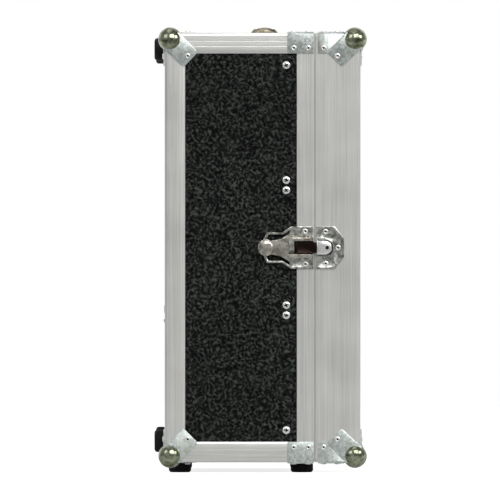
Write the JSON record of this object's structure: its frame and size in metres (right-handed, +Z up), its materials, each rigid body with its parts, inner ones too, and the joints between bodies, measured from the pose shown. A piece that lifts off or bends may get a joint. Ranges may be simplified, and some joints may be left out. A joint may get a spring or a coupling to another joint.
{
  "type": "modular synth case",
  "caption": "Upright flight case for rows of synthesiser modules, with aluminium edges, lift-off lid and draw latches.",
  "frame": {"origin": "middle of the footprint, on the surface that the bottom feet stand on", "axes": "+X from the back of the case to its lid, +Y from the left end to the right end, +Z up"},
  "size_m": [0.2268, 0.4708, 0.4759],
  "materials": {
    "covered_panel": "plywood under black pebbled leatherette",
    "profile": "satin extruded aluminium",
    "rim": "satin extruded aluminium with fine ribs",
    "corner_steel": "zinc-plated pressed steel",
    "rivet": "zinc-plated rivet heads",
    "rail": "clear anodised extrusion",
    "strip": "plated steel",
    "screw": "plated steel",
    "circuit_board": "glass-fibre board with solder mask",
    "standoff": "turned brass",
    "header": "moulded shroud",
    "supply_cover": "grey painted sheet",
    "inlet_plastic": "moulded black plastic",
    "switch_plastic": "glossy black plastic",
    "foot_rubber": "black rubber",
    "latch_chrome": "bright plated steel",
    "handle_chrome": "bright plated steel",
    "strap": "black strap",
    "grip": "moulded black grip"
  },
  "bodies": {
    "case": {"left_end_panel": "covered_panel", "right_end_panel": "covered_panel", "back_panel": "covered_panel", "top_panel": "covered_panel", "bottom_panel": "covered_panel", "edge_back_top": "profile", "edge_back_bottom": "profile", "edge_back_left": "profile", "edge_back_right": "profile", "edge_top_left": "profile", "edge_top_right": "profile", "edge_bottom_left": "profile", "edge_bottom_right": "profile", "base_rim_top": "rim", "base_rim_bottom": "rim", "base_rim_left": "rim", "base_rim_right": "rim", "base_ball_corners": "corner_steel", "base_corner_braces": "corner_steel", "base_rivets": "rivet", "rail_bottom_lower": "rail", "rail_bottom_upper": "rail", "rail_middle_lower": "rail", "rail_middle_upper": "rail", "rail_top_lower": "rail", "rail_top_upper": "rail", "threaded_strips": "strip", "rail_screws": "screw", "foot_screws": "screw", "bus_boards": "circuit_board", "board_standoffs": "standoff", "bus_headers": "header", "power_supply": "supply_cover", "mains_inlet": "inlet_plastic", "bottom_feet": "foot_rubber", "back_feet": "foot_rubber", "latch_plates": "latch_chrome", "latch_pivots": "latch_chrome", "handle_caps": "handle_chrome", "handle_strap_left": "strap", "handle_strap_right": "strap"},
    "lid": {"lid_panel": "covered_panel", "lid_rim_top": "rim", "lid_rim_bottom": "rim", "lid_rim_left": "rim", "lid_rim_right": "rim", "lid_ball_corners": "corner_steel", "lid_corner_braces": "corner_steel", "lid_rivets": "rivet", "latch_keepers": "latch_chrome"},
    "left_latch_lever": {"left_lever": "latch_chrome", "left_claw_pin": "latch_chrome"},
    "left_latch_claw": {"left_claw": "latch_chrome"},
    "right_latch_lever": {"right_lever": "latch_chrome", "right_claw_pin": "latch_chrome"},
    "right_latch_claw": {"right_claw": "latch_chrome"},
    "grip": {"handle_grip": "grip"},
    "fuse_drawer": {"fuse_drawer": "inlet_plastic"},
    "power_switch": {"power_switch": "switch_plastic"}
  },
  "joints": [
    {"name": "lid_lift_off", "type": "slide", "parent": "case", "child": "lid", "axis": [1, 0, 0], "range_m": [0, 0.03]},
    {"name": "handle_lift", "type": "slide", "parent": "case", "child": "grip", "axis": [0, 0, 1], "range_m": [0, 0.025], "deforming": ["handle_strap_left", "handle_strap_right"]},
    {"name": "fuse_drawer_slide", "type": "slide", "parent": "case", "child": "fuse_drawer", "axis": [-1, 0, 0], "range_m": [0, 0.016]},
    {"name": "power_switch_rock", "type": "hinge", "parent": "case", "child": "power_switch", "pos_m": [-0.0994, 0.15, 0.15332], "axis": [0, 1, 0], "range_deg": [0, 14]},
    {"name": "left_lever_swing", "type": "hinge", "parent": "case", "child": "left_latch_lever", "pos_m": [0.0524, -0.2305, 0.24], "axis": [0, 0, 1], "range_deg": [0, 106]},
    {"name": "left_claw_swing", "type": "hinge", "parent": "left_latch_lever", "child": "left_latch_claw", "pos_m": [0.0381, -0.229, 0.24], "axis": [0, 0, -1], "range_deg": [0, 126]},
    {"name": "right_lever_swing", "type": "hinge", "parent": "case", "child": "right_latch_lever", "pos_m": [0.0524, 0.2305, 0.24], "axis": [0, 0, -1], "range_deg": [0, 106]},
    {"name": "right_claw_swing", "type": "hinge", "parent": "right_latch_lever", "child": "right_latch_claw", "pos_m": [0.0381, 0.229, 0.24], "axis": [0, 0, 1], "range_deg": [0, 126]}
  ],
  "couplings": [
    {"joint": "left_lever_swing", "follows": "lid_lift_off", "rad_per_m": 61.087},
    {"joint": "left_claw_swing", "follows": "lid_lift_off", "rad_per_m": 72.722},
    {"joint": "right_lever_swing", "follows": "lid_lift_off", "rad_per_m": 61.087},
    {"joint": "right_claw_swing", "follows": "lid_lift_off", "rad_per_m": 72.722}
  ]
}
